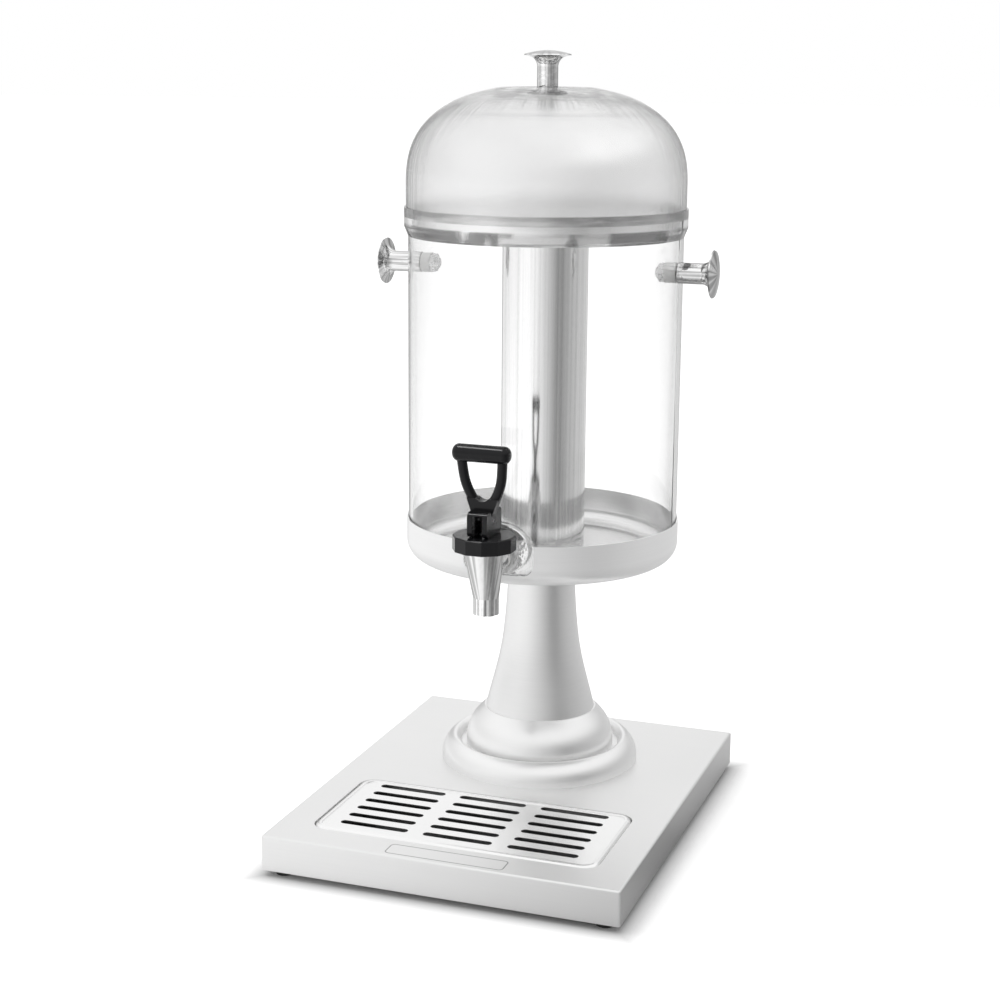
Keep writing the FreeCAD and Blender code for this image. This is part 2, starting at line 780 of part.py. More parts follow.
def save_lid_knob():
    wall = lid_washer_thickness + lid_dome_wall
    save("lid_knob", place_on_lid(knob()))
    save("lid_knob_washer", tube(lid_washer_radius, knob_stud_radius + bolt_gap, dimple_z,
                                 dimple_z + lid_washer_thickness, 0, axis_y))
    save("lid_knob_stud", place_on_lid(knob_stud(wall, lid_sleeve_length)))
    save("lid_knob_gasket", place_on_lid(knob_sleeve(-wall, lid_sleeve_length)))
    save("lid_knob_nut", place_on_lid(cap_nut(-wall - lid_sleeve_length)))


# Tap

nozzle_y = tap_y + nozzle_setback
nozzle_z = shank_z - nozzle_drop
spout_top_z = shank_z + spout_top_rise
bonnet_z = shank_z + bonnet_rise
bonnet_top_z = bonnet_z + bonnet_height
chamber_z = shank_z - chamber_drop
pin_z = bonnet_top_z + pin_height


def circle_wire(radius, y, z):
    return Part.Wire([Part.makeCircle(radius, V(0, y, z), Z_AXIS)])


def tap_body():
    nozzle_top = nozzle_z + nozzle_length
    nozzle = cylinder(nozzle_radius, nozzle_z, nozzle_top, 0, nozzle_y)
    spout = Part.makeLoft([circle_wire(nozzle_radius, nozzle_y, nozzle_top),
                           circle_wire(spout_top_radius, tap_y, spout_top_z)], True, True)
    thread_top = spout_top_z + collar_thread_length
    thread = cylinder(collar_thread_radius, spout_top_z, thread_top, 0, tap_y)
    shoulder_front = pad_face_y - tap_gasket_thickness - shoulder_thickness
    shoulder = rod_along_y(shoulder_radius, shoulder_front, shoulder_front + shoulder_thickness, 0, shank_z)
    neck = rod_along_y(neck_radius, tap_y, shoulder_front, 0, shank_z)
    shank = rod_along_y(shank_radius, shoulder_front, pad_inner_face_y + shank_inner_length, 0, shank_z)
    body = nozzle.fuse(spout).fuse(thread).fuse(neck).fuse(shoulder).fuse(shank)
    for i in range(flute_count):
        angle = 2 * math.pi * (i + 0.5) / flute_count
        reach = nozzle_radius + flute_radius - flute_depth
        flute = cylinder(flute_radius, nozzle_z - 1, nozzle_top, reach * math.cos(angle),
                         nozzle_y + reach * math.sin(angle))
        body = body.cut(flute)
    throat_z = shank_z - throat_drop
    outlet = cylinder(nozzle_bore_radius, nozzle_z - 1, throat_z + 1, 0, nozzle_y)
    throat = cylinder(throat_radius, throat_z, chamber_z + 1, 0, tap_y)
    chamber = cylinder(chamber_radius, chamber_z, thread_top + 1, 0, tap_y)
    shank_bore = rod_along_y(shank_bore_radius, tap_y, pad_inner_face_y + shank_inner_length + 1, 0, shank_z)
    return body.cut(outlet).cut(throat).cut(chamber).cut(shank_bore)


def tap_bonnet():
    across_flats = 2 * bonnet_radius * math.cos(math.pi / bonnet_sides)
    bonnet = prism(bonnet_sides, across_flats, bonnet_z, bonnet_top_z, 0, tap_y)
    bonnet = bonnet.makeChamfer(bonnet_bevel, edges_at_height(bonnet, bonnet_top_z))
    bore_top = bonnet_top_z - bonnet_roof
    bonnet = bonnet.cut(cylinder(collar_thread_radius + thread_gap, bonnet_z - 1, bore_top, 0, tap_y))
    return bonnet.cut(cylinder(stem_radius + seat_gap, bonnet_z, bonnet_top_z + 1, 0, tap_y))


def tap_outer_gasket():
    return ring_along_y(shoulder_radius, shank_radius + bolt_gap, pad_face_y - tap_gasket_thickness,
                        pad_face_y, 0, shank_z)


def tap_inner_gasket():
    return ring_along_y(tap_gasket_radius, shank_radius + bolt_gap, pad_inner_face_y,
                        pad_inner_face_y + tap_gasket_thickness, 0, shank_z)


def tap_nut():
    nut = prism(6, tap_nut_across_flats, 0, tap_nut_thickness)
    nut = nut.cut(cylinder(shank_radius + thread_gap, -1, tap_nut_thickness + 1))
    nut.rotate(V(0, 0, 0), X_AXIS, -90)
    nut.translate(V(0, pad_inner_face_y + tap_gasket_thickness, shank_z))
    return nut


stem_collar_top_z = bonnet_top_z - bonnet_roof - 2.2 * stem_lift
stem_collar_z = stem_collar_top_z - stem_collar_thickness
seal_top_z = stem_collar_z - seat_gap
cup_z = chamber_z
cup_top_z = cup_z + cup_height + cup_neck_height


def tap_stem():
    stem = cylinder(stem_radius, cup_z + cup_height / 2, pin_z + stem_top_over_pin, 0, tap_y)
    stem = stem.fuse(cylinder(stem_collar_radius, stem_collar_z, stem_collar_top_z, 0, tap_y))
    return stem.cut(pin_hole())


def pin_hole():
    length = 2 * handle_base_width
    return Part.makeCylinder(pin_radius + shaft_gap, length, V(-length / 2, tap_y, pin_z), X_AXIS)


def handle_pin():
    length = handle_base_width - 2 * seat_gap
    return Part.makeCylinder(pin_radius, length, V(-length / 2, tap_y, pin_z), X_AXIS)


def seat_cup():
    cup = cylinder(cup_radius, cup_z, cup_z + cup_height, 0, tap_y)
    cup = cup.makeFillet(1.5, edges_at_height(cup, cup_z + cup_height))
    neck = cylinder(cup_neck_radius, cup_z + cup_height, cup_top_z, 0, tap_y)
    socket = cylinder(stem_radius + thread_gap, cup_z + cup_height / 2, cup_top_z + 1, 0, tap_y)
    return cup.fuse(neck).cut(socket)


def stem_seal():
    return tube(chamber_radius - thread_gap, stem_radius + shaft_gap, seal_top_z - seal_thickness, seal_top_z,
                0, tap_y)


def tap_spring():
    return tube(spring_outer_radius, spring_inner_radius, stem_collar_top_z + thread_gap,
                bonnet_top_z - bonnet_roof - thread_gap, 0, tap_y)


# Handle of the tap

def handle_loop():
    # One round bar bent to a U, leaning towards the user, under a grip bar.
    bottom = bonnet_top_z + loop_bottom_height
    top = bonnet_top_z + handle_bar_height
    rise = top - bottom
    spread = loop_top_half_width - loop_mid_half_width
    right = [(0, 0), (0.6 * loop_mid_half_width, 0.07), (loop_mid_half_width, 0.24),
             (loop_mid_half_width + 0.63 * spread, 0.465), (loop_mid_half_width + 0.86 * spread, 0.66),
             (loop_top_half_width, 0.87), (loop_top_half_width + 0.1, 1.0)]
    half = [V(x, tap_y - handle_bar_lead * share, bottom + rise * share) for x, share in right]
    mirrored = [V(-point.x, point.y, point.z) for point in reversed(half[1:])]
    path = Part.BSplineCurve()
    path.interpolate(mirrored + half)
    start = path.value(path.FirstParameter)
    along = path.tangent(path.FirstParameter)[0]
    section = Part.Wire([Part.makeCircle(handle_leg_radius, start, along)])
    loop = Part.Wire([path.toShape()]).makePipeShell([section], True, False)
    bar = Part.makeCylinder(handle_bar_radius, handle_bar_length,
                            V(-handle_bar_length / 2, tap_y - handle_bar_lead, top), X_AXIS)
    ends = [edge for edge in bar.Edges if edge.BoundBox.XLength < 1e-3]
    bar = bar.makeFillet(handle_bar_end_radius, ends)
    return bar.fuse(loop)


def handle_gusset():
    # The flat web between the base block and the two legs.
    low = bonnet_top_z + handle_base_height - handle_corner_radius
    high = bonnet_top_z + gusset_top_height
    y = tap_y + gusset_depth / 2
    corners = [V(-handle_base_width / 2, y, low), V(handle_base_width / 2, y, low),
               V(gusset_half_width, y, high), V(-gusset_half_width, y, high)]
    web = Part.Face(Part.makePolygon(corners + [corners[0]])).extrude(V(0, -gusset_depth - 1, 0))
    clear_radius = loop_mid_half_width - handle_leg_radius
    centre_z = bonnet_top_z + loop_bottom_height + handle_leg_radius + clear_radius
    opening = rod_along_y(clear_radius, y - 2 * gusset_depth, y + gusset_depth, 0, centre_z)
    return web.cut(opening)


def handle_base():
    bottom = bonnet_top_z + handle_base_gap
    top = bonnet_top_z + handle_base_height
    half_width = handle_base_width / 2
    half_depth = handle_base_depth / 2
    block = box(-half_width, half_width, tap_y - half_depth, tap_y + half_depth, bottom, top)
    across = [edge for edge in block.Edges
              if edge.BoundBox.XLength > 1 and edge.BoundBox.YLength < 1e-6 and edge.BoundBox.ZLength < 1e-6]
    return block.makeFillet(handle_corner_radius, across)


def handle_slot():
    # Room for the stem's head, open to the front and below.
    half_width = handle_slot_width / 2
    front_y = tap_y - handle_base_depth / 2 - 1
    return box(-half_width, half_width, front_y, tap_y + handle_slot_back, bonnet_top_z,
               pin_z + handle_slot_top)


def tap_handle():
    handle = handle_base().fuse(handle_gusset()).fuse(handle_loop())
    return handle.cut(handle_slot()).cut(pin_hole())


def save(name, solid):
    if len(solid.Solids) == 1:
        solid = solid.Solids[0].removeSplitter()
    if not solid.isValid():
        print("not valid:", name)
    print(name, len(solid.Solids), round(solid.Volume, 1))
    solid.exportStep("parts/" + name + ".step")


def build():
    save("base_shell", base_shell())
    save("bottom_cover", bottom_cover())
    for name, (x, y) in foot_places.items():
        save("foot_" + name, foot(x, y))
    save("foot_screws", Part.makeCompound([foot_screw(x, y) for x, y in foot_places.values()]))
    save("corner_posts", Part.makeCompound([corner_post(x, y) for x, y in foot_places.values()]))
    save("stiffener", stiffener())
    save("drip_tray", drip_tray())
    save("drip_grille", drip_grille())
    save("foot_ring", foot_ring())
    save("column_collar", column_collar())
    save("column", column())
    save("column_top_disc", column_top_disc())
    save("tie_rod", tie_rod())
    save("tie_rod_washers", tie_rod_washers())
    save("tie_rod_nuts", tie_rod_nuts())
    save("barrel_holder", barrel_holder())
    save("barrel", barrel())
    save("ice_tube", ice_tube())
    save("ice_tube_gasket", ice_tube_gasket())
    save("ice_tube_nut", ice_tube_nut())
    save_side_knob("left", -1)
    save_side_knob("right", 1)
    save("lid_dome", lid_dome())
    save_lid_knob()
    save("tap_body", tap_body())
    save("tap_bonnet", tap_bonnet())
    save("tap_outer_gasket", tap_outer_gasket())
    save("tap_inner_gasket", tap_inner_gasket())
    save("tap_nut", tap_nut())
    save("stem_seal", stem_seal())
    save("tap_stem", tap_stem())
    save("handle_pin", handle_pin())
    save("seat_cup", seat_cup())
    save("tap_spring", tap_spring())
    save("tap_handle", tap_handle())


build()
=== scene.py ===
import math

import bpy
from mathutils import Matrix, Vector


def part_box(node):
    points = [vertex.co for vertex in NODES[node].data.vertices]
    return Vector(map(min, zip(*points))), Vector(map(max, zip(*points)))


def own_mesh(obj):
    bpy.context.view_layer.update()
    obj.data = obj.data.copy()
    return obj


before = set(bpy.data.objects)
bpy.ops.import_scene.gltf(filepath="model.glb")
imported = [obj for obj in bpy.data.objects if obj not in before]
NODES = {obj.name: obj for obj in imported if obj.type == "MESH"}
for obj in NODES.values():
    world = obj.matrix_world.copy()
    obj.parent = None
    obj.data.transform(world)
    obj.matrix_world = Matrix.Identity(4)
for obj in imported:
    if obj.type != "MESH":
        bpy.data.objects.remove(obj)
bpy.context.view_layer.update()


# Places read from the model's meshes, in metres

def box_size(node):
    low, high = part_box(node)
    return [high[i] - low[i] for i in range(3)]


def box_centre(node):
    low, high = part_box(node)
    return Vector([(low[i] + high[i]) / 2 for i in range(3)])


AXIS_Y = box_centre("column").y
BASE_HIGH = Vector(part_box("base_shell")[1])
LID_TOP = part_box("lid_dome")[1][2]
BARREL_FOOT, BARREL_TOP = [corner[2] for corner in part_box("barrel")]
HOLDER_FOOT, HOLDER_TOP = [corner[2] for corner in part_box("barrel_holder")]
HOLDER_RADIUS = box_size("barrel_holder")[0] / 2
LID_FLANGE_HEIGHT = 0.0065
FLANGE_TOP = BARREL_TOP + LID_FLANGE_HEIGHT


# Camera, placed where the photograph was taken from

CAMERA_PLACE = (0.434228, -1.254379, 0.550285)
CAMERA_YAW = 0.3420
CAMERA_PITCH = 0.2256
CAMERA_ROLL = 0.0071
CAMERA_LENS = 67.564
SENSOR_WIDTH = 36.0
CLIP_RANGE = (0.01, 100.0)


def photo_camera():
    data = bpy.data.cameras.new("photo_camera")
    data.sensor_width = SENSOR_WIDTH
    data.lens = CAMERA_LENS
    data.clip_start, data.clip_end = CLIP_RANGE
    forward = Vector((-math.sin(CAMERA_YAW) * math.cos(CAMERA_PITCH),
                      math.cos(CAMERA_YAW) * math.cos(CAMERA_PITCH), -math.sin(CAMERA_PITCH)))
    right = Vector((math.cos(CAMERA_YAW), math.sin(CAMERA_YAW), 0.0))
    up = right.cross(forward)
    rolled_right = right * math.cos(CAMERA_ROLL) + up * math.sin(CAMERA_ROLL)
    rolled_up = up * math.cos(CAMERA_ROLL) - right * math.sin(CAMERA_ROLL)
    turn = Matrix((rolled_right, rolled_up, -forward)).transposed()
    camera = bpy.data.objects.new("photo_camera", data)
    camera.matrix_world = Matrix.Translation(CAMERA_PLACE) @ turn.to_4x4()
    bpy.context.scene.collection.objects.link(camera)
    bpy.context.scene.camera = camera


# Shader helpers

# Noise levels between which a tone or a roughness changes, from a soft change to a firm one
SOFT = (0.2, 0.8)
EVEN = (0.3, 0.7)
FIRM = (0.35, 0.65)


class Tree:
    """A node tree with short calls for the nodes that the materials share."""

    def __init__(self, owner):
        owner.use_nodes = True
        self.owner = owner
        self.nodes = owner.node_tree.nodes
        self.links = owner.node_tree.links
        self.nodes.clear()

    def add(self, kind, settings=None, **sockets):
        node = self.nodes.new(kind)
        for name, value in (settings or {}).items():
            setattr(node, name, value)
        for name, value in sockets.items():
            self.put(node, name.replace("_", " "), value)
        return node

    def put(self, node, socket, value):
        target = node.inputs[socket]
        if isinstance(value, bpy.types.NodeSocket):
            self.links.new(value, target)
        else:
            target.default_value = value

    def math(self, operation, first, second=0.0):
        node = self.nodes.new("ShaderNodeMath")
        node.operation = operation
        self.put(node, 0, first)
        self.put(node, 1, second)
        return node.outputs[0]

    def minus(self, first, second):
        return self.math("SUBTRACT", first, second)

    def product(self, first, *others):
        for other in others:
            first = self.math("MULTIPLY", first, other)
        return first

    def larger(self, first, second):
        return self.math("MAXIMUM", first, second)

    def length(self, x, y):
        return self.math("SQRT", self.math("ADD", self.product(x, x), self.product(y, y)))

    def azimuth(self, x, y):
        """The angle of the direction x, y, in radians from the front towards the right."""
        return self.math("ARCTAN2", x, self.product(y, -1.0))

    def position(self):
        return self.add("ShaderNodeTexCoord").outputs["Object"]

    def from_axis(self):
        """The position's x, y and z, with y from the barrel's and column's axis."""
        x, y, z = self.parts(self.position())
        return x, self.minus(y, AXIS_Y), z

    def normal(self):
        return self.parts(self.add("ShaderNodeNewGeometry").outputs["Normal"])

    def facing(self):
        """0 where the surface is seen square on, 1 where it is seen edge on."""
        return self.add("ShaderNodeLayerWeight", Blend=0.5).outputs["Facing"]

    def parts(self, vector):
        return self.add("ShaderNodeSeparateXYZ", Vector=vector).outputs

    def vector(self, x, y, z):
        return self.add("ShaderNodeCombineXYZ", X=x, Y=y, Z=z).outputs[0]

    def tint(self, level):
        return self.vector(level, level, level)

    def stretched(self, scales):
        """The position, scaled along each axis."""
        parts = self.parts(self.position())
        return self.vector(*[self.product(part, scale) for part, scale in zip(parts, scales)])

    def ringed(self, along_scale, around_scale):
        """Coordinates that follow the turning marks round the barrel's and column's axis."""
        x, y, z = self.from_axis()
        along = self.math("ADD", self.length(x, y), z)
        angle = self.math("ARCTAN2", x, y)
        return self.vector(self.product(along, along_scale),
                           self.product(self.math("SINE", angle), around_scale),
                           self.product(self.math("COSINE", angle), around_scale))

    def noise(self, vector, scale=1.0, detail=2.0, roughness=0.5):
        return self.add("ShaderNodeTexNoise", Vector=vector, Scale=scale, Detail=detail,
                        Roughness=roughness).outputs[0]

    def marks(self, vector, scale=1.0):
        return self.noise(vector, scale, detail=3.0, roughness=0.6)

    def span(self, value, low, high, to_low, to_high):
        node = self.add("ShaderNodeMapRange", {"clamp": True})
        for place, number in enumerate((value, low, high, to_low, to_high)):
            self.put(node, place, number)
        return node.outputs[0]

    def between(self, share, low, high):
        return self.span(share, 0.0, 1.0, low, high)

    def band(self, value, low, high, soft):
        """1 between low and high, 0 outside."""
        above = self.span(value, low - soft, low, 0.0, 1.0)
        below = self.span(value, high, high + soft, 1.0, 0.0)
        return self.product(above, below)

    def grey(self, value, low, high):
        """A colour between two colours, as value goes from 0 to 1."""
        node = self.add("ShaderNodeMix", {"data_type": "RGBA"})
        self.put(node, 0, value)
        node.inputs[6].default_value = (*low, 1.0)
        node.inputs[7].default_value = (*high, 1.0)
        return node.outputs[2]

    def ramp(self, value, places):
        """The level at value, read from pairs of spot and level."""
        node = self.add("ShaderNodeValToRGB")
        elements = node.color_ramp.elements
        while len(elements) > 1:
            elements.remove(elements[-1])
        for place, (spot, level) in enumerate(places):
            element = elements[0] if place == 0 else elements.new(spot)
            element.position = spot
            element.color = (level, level, level, 1.0)
        self.put(node, 0, value)
        return node.outputs[0]

    def bump(self, height, strength, distance):
        node = self.add("ShaderNodeBump", Height=height, Strength=strength, Distance=distance)
        return node.outputs[0]

    def surface(self, **sockets):
        """Ends the material with a Principled shader and gives the material back."""
        shader = self.add("ShaderNodeBsdfPrincipled")
        for name, value in sockets.items():
            self.put(shader, name.replace("_", " "), value)
        output = self.add("ShaderNodeOutputMaterial")
        self.links.new(shader.outputs[0], output.inputs["Surface"])
        return self.owner


def new_material(name):
    return Tree(bpy.data.materials.new(name))


# Steels and plated metal

# Dark and light tones
STEEL = ((0.80, 0.80, 0.80), (0.90, 0.90, 0.895))
BASE_STEEL = ((0.84, 0.84, 0.84), (0.91, 0.91, 0.905))
FOOT_STEEL = ((0.90, 0.90, 0.90), (0.98, 0.98, 0.975))
GRILLE_STEEL = ((0.92, 0.92, 0.92), (0.98, 0.98, 0.975))
# The drip tray's tones are painted shade, dark as the space under the grille
TRAY_SHADE_STEEL = ((0.10, 0.10, 0.10), (0.16, 0.16, 0.16))
FASTENER_STEEL = ((0.58, 0.58, 0.59), (0.72, 0.72, 0.73))
CAP_NUT_STEEL = ((0.84, 0.84, 0.84), (0.92, 0.92, 0.92))
# Fineness of the marks, on each axis or else along and round what is spun
BRUSHED_SCALES = (6.0, 900.0, 900.0)
TUBE_SCALES = (420.0, 420.0, 1.5)
SPUN_SCALES = (900.0, 1.5)
CLOUD_SCALE = 13.0
MARK_DEPTH = 0.0002
BRUSHED_BUMP = 0.10
ROUGHNESS_SPREAD = 0.05
STEEL_METALLIC = 0.85
# The empty frame etched into the base's front lip: middle, half size, corner, line and tone
FRAME_PLACE = (0.004, -0.1495)
FRAME_HALF = (0.0425, 0.0075)
FRAME_CORNER = 0.003
FRAME_LINE = 0.0006
FRAME_TONE = 0.45
FRAME_DEPTHS = (0.002, 0.001)
# The holder's tones, the inside's lifted as painted light against the shade in it, and how metallic
# and how rough it is inside and outside
HOLDER_LIT_INSIDE_TONES = (0.93, 1.0)
HOLDER_SATIN = (0.86, 0.89)
HOLDER_METALLIC = (1.0, 0.45)
HOLDER_ROUGHNESS = (0.20, 0.30)
HOLDER_TURN = 0.2
HOLDER_BUMP = 0.04
TUBE_CONTRAST = (0.35, 0.62)
TUBE_TONES = (0.78, 0.94)
TUBE_ROUGHNESS = (0.10, 0.15)
TUBE_BUMP = (0.10, 0.0004)
# Painted shade on plated metal: how light its colour is, from square on (0) to edge on (1)
CHROME_EDGE_SHADE = ((0.0, 0.98), (0.40, 0.95), (0.58, 0.84), (0.74, 0.48), (1.0, 0.25))
CHROME_AROUND = 3.2
CHROME_ALONG = 9.0
CHROME_CONTRAST = (0.40, 0.56)
RIPPLE_SCALE = 130.0
RIPPLE_BUMP = (0.35, 0.0012)
FASTENER_GRAIN = 500.0
FASTENER_ROUGHNESS = (0.22, 0.34)
FASTENER_BUMP = 0.08


def etched_frame(tree):
    """A line etched round a bare rounded rectangle: 1 off the line and darker on it."""
    x, y, z = tree.parts(tree.position())
    beyond = [tree.minus(tree.math("ABSOLUTE", tree.minus(part, middle)), half - FRAME_CORNER)
              for part, middle, half in zip((x, y), FRAME_PLACE, FRAME_HALF)]
    outside = tree.length(*[tree.larger(part, 0.0) for part in beyond])
    inside = tree.math("MINIMUM", tree.larger(*beyond), 0.0)
    distance = tree.minus(tree.math("ADD", outside, inside), FRAME_CORNER)
    line = tree.span(tree.math("ABSOLUTE", distance), FRAME_LINE / 2, FRAME_LINE, 1.0, 0.0)
    on_top = tree.span(z, *[BASE_HIGH.z - depth for depth in FRAME_DEPTHS], 0.0, 1.0)
    return tree.between(tree.product(line, on_top), 1.0, FRAME_TONE)


def steel_surface(tree, marks, tones, roughness, bump, metallic, drawn=None):
    """Steel toned by marks. What is drawn, where it is given, darkens it."""
    cloud = tree.noise(tree.position(), CLOUD_SCALE)
    tone = tree.math("ADD", tree.product(marks, 0.5), tree.product(cloud, 0.5))
    colour = tree.grey(tone, *tones)
    if drawn is not None:
        scaled = tree.add("ShaderNodeVectorMath", {"operation": "SCALE"}, Vector=colour, Scale=drawn)
        colour = scaled.outputs[0]
    rough = tree.span(marks, *SOFT, roughness - ROUGHNESS_SPREAD, roughness + ROUGHNESS_SPREAD)
    return tree.surface(Base_Color=colour, Metallic=metallic, Roughness=rough,
                        Normal=tree.bump(marks, bump, MARK_DEPTH))


def brushed_steel(name, tones, roughness, metallic=STEEL_METALLIC, framed=False):
    tree = new_material(name)
    marks = tree.marks(tree.stretched(BRUSHED_SCALES))
    drawn = etched_frame(tree) if framed else None
    return steel_surface(tree, marks, tones, roughness, BRUSHED_BUMP, metallic, drawn)


def spun_steel(name, tones, roughness, bump):
    tree = new_material(name)
    marks = tree.marks(tree.ringed(*SPUN_SCALES))
    return steel_surface(tree, marks, tones, roughness, bump, STEEL_METALLIC)


def holder_steel():
    """Satin outside and polished inside, told apart by which way the sheet faces; the inside's tone
    is lifted as painted light.
    """
    tree = new_material("spun_holder_steel")
    x, y, z = tree.from_axis()
    normal_x, normal_y, normal_z = tree.normal()
    outward = tree.math("ADD", tree.product(x, normal_x), tree.product(y, normal_y))
    facing_out = tree.minus(tree.math("DIVIDE", outward, HOLDER_RADIUS), normal_z)
    outside = tree.span(facing_out, -HOLDER_TURN, HOLDER_TURN, 0.0, 1.0)
    marks = tree.marks(tree.ringed(*SPUN_SCALES))
    # Painted light: the inside's tones are lighter than the outside's
    polished = tree.span(marks, *FIRM, *HOLDER_LIT_INSIDE_TONES)
    satin = tree.span(marks, *SOFT, *HOLDER_SATIN)
    return tree.surface(Base_Color=tree.tint(tree.between(outside, polished, satin)),
                        Metallic=tree.between(outside, *HOLDER_METALLIC),
                        Roughness=tree.between(outside, *HOLDER_ROUGHNESS),
                        Normal=tree.bump(marks, HOLDER_BUMP, MARK_DEPTH))


def polished_tube():
    """Polished tube with fine upright lines, as drawn tube has."""
    tree = new_material("polished_tube_steel")
    marks = tree.marks(tree.stretched(TUBE_SCALES))
    return tree.surface(Base_Color=tree.tint(tree.span(marks, *TUBE_CONTRAST, *TUBE_TONES)),
                        Metallic=1.0, Roughness=tree.span(marks, *SOFT, *TUBE_ROUGHNESS),
                        Normal=tree.bump(marks, *TUBE_BUMP))


def chrome(name, roughness, painted_streak_darkest, node, length_axis):
    """Plated metal, with painted shade that darkens it seen edge on, and painted reflection streaks
    that run along one axis of the node.
    """
    tree = new_material(name)
    parts = tree.parts(tree.position())
    centre = box_centre(node)
    across = [tree.minus(parts[axis], centre[axis]) for axis in range(3) if axis != length_axis]
    angle = tree.math("ARCTAN2", *across)
    # Reflection streaks painted into the colour; the same streaks also vary the roughness
    painted_reflection_streaks = tree.noise(tree.vector(tree.product(tree.math("SINE", angle), CHROME_AROUND),
                                   tree.product(tree.math("COSINE", angle), CHROME_AROUND),
                                   tree.product(parts[length_axis], CHROME_ALONG)))
    ripple = tree.noise(tree.position(), RIPPLE_SCALE)
    # Painted shade: darker seen edge on, and darker along the painted reflection streaks
    shade = tree.product(tree.ramp(tree.facing(), CHROME_EDGE_SHADE),
                         tree.span(painted_reflection_streaks, *CHROME_CONTRAST, painted_streak_darkest, 1.0))
    rough = tree.span(painted_reflection_streaks, *EVEN, roughness, roughness + ROUGHNESS_SPREAD)
    return tree.surface(Base_Color=tree.tint(shade), Metallic=1.0, Roughness=rough,
                        Normal=tree.bump(ripple, *RIPPLE_BUMP))


def fastener_steel(name, tones, metallic):
    tree = new_material(name)
    grain = tree.noise(tree.position(), FASTENER_GRAIN, 3.0)
    return tree.surface(Base_Color=tree.grey(grain, *tones), Metallic=metallic,
                        Roughness=tree.span(grain, *SOFT, *FASTENER_ROUGHNESS),
                        Normal=tree.bump(grain, FASTENER_BUMP, MARK_DEPTH))


# Clear plastics

# Painted shade on the clear plastics: how light their colour is, from square on (0) to edge on (1)
BARREL_EDGE_SHADE = ((0.0, 1.0), (0.26, 0.985), (0.42, 0.93), (0.73, 0.84), (0.90, 0.70), (1.0, 0.30))
LID_EDGE_SHADE = ((0.0, 1.0), (0.50, 1.0), (0.74, 0.92), (0.84, 0.72), (0.91, 0.45), (1.0, 0.20))
UPRIGHT_WALL = (0.2, 0.6)
BARREL_IOR = 1.45
BARREL_HAZE = 30.0
BARREL_ROUGHNESS = (0.0, 0.015)
# The barrel's moulded rim: how far below its top it lies, and the dark and light tones painted on it
# as refracted shade
RIM_BAND = (0.0135, 0.0055)
RIM_SOFT = 0.0008
RIM_SCALES = (30.0, 3.6)
RIM_CONTRAST = (0.45, 0.48)
RIM_SHADE_TONES = (0.48, 0.92)
# Arcs of the rim painted dark as refracted shade, in radians from the front towards the right
RIM_DARK_ARCS = ((-1.15, -0.45), (0.79, 1.29))
RIM_ARC_SOFT = 0.04
# The barrel's glassy places: the oval boss, the holder's notch and the floor's raised middle
BOSS_HALF = (0.0252, 0.0192)
BOSS_CENTRE = BARREL_FOOT + 0.0277
BOSS_EDGE = (0.98, 1.04)
NOTCH_HALF = 0.027
NOTCH_FOOT = HOLDER_FOOT + 0.008
NOTCH_SOFT = (0.001, 0.0005)
FRONT_WALL = (-0.094, -0.092)
FLOOR_MIDDLE = (0.033, 0.035)
GLASSY_METALLIC = 0.65
GLASSY_BUMP = (0.5, 0.0012)
GLASSY_SWIRL = 160.0
# The lid: its gloss on the flange and on the dome, where it is clearer than that, and the painted
# shade of its streaks and flange
LID_IOR = 1.49
LID_GLOSS = (0.55, 0.20)
DOME_FOOT = (-0.0002, 0.0006)
LID_CLEAR_GLOSS = 0.25
LID_CLEAR_CREST = 0.016
LID_CLEAR_EDGE = (0.42, 0.78)
LID_ROUGHNESS = (0.20, 0.03)
LID_BUMP = (0.02, 0.14)
LID_BUMP_DEPTH = 0.001
STREAK_SCALES = (4.0, 48.0)
CREST_SCALES = (160.0, 2.0)
STREAK_CONTRAST = (0.43, 0.53)
STREAK_SHADE_TONE = 0.50
FLANGE_BAND = (0.0003, -0.0002)
FLANGE_SOFT = 0.0002
FLANGE_SCALES = (200.0, 3.0)
FLANGE_SHADE_TONES = (0.55, 0.85)
# Dark rings painted near the crest as refracted shade: depth below the top, width and tone
LID_RINGS = ((0.0035, 0.0003, 0.72), (0.0085, 0.0004, 0.84), (0.0190, 0.0006, 0.88))


def rim_shade(tree, x, y, z):
    """Painted shade: the dark and light stretches of the barrel's moulded rim, and 1 elsewhere."""
    light = tree.span(tree.noise(tree.ringed(*RIM_SCALES)), *RIM_CONTRAST, 0.0, 1.0)
    angle = tree.azimuth(x, y)
    for start, end in RIM_DARK_ARCS:
        dark = tree.band(angle, start, end, RIM_ARC_SOFT)
        light = tree.product(light, tree.between(dark, 1.0, 0.0))
    rim = tree.band(z, *[BARREL_TOP - depth for depth in RIM_BAND], RIM_SOFT)
    return tree.between(rim, 1.0, tree.between(light, *RIM_SHADE_TONES))


def glassy_places(tree, x, y, z):
    """1 on the tap boss, in the holder's notch and on the raised middle of the floor."""
    across = tree.math("DIVIDE", x, BOSS_HALF[0])
    up = tree.math("DIVIDE", tree.minus(z, BOSS_CENTRE), BOSS_HALF[1])
    oval = tree.math("ADD", tree.product(across, across), tree.product(up, up))
    on_boss = tree.span(oval, *BOSS_EDGE, 1.0, 0.0)
    in_notch = tree.product(tree.band(x, -NOTCH_HALF, NOTCH_HALF, NOTCH_SOFT[0]),
                            tree.band(z, NOTCH_FOOT, HOLDER_TOP - NOTCH_SOFT[1], NOTCH_SOFT[1]))
    in_front = tree.span(y, *FRONT_WALL, 1.0, 0.0)
    in_middle = tree.span(tree.length(x, y), *FLOOR_MIDDLE, 1.0, 0.0)
    return tree.larger(tree.product(in_front, tree.larger(on_boss, in_notch)), in_middle)


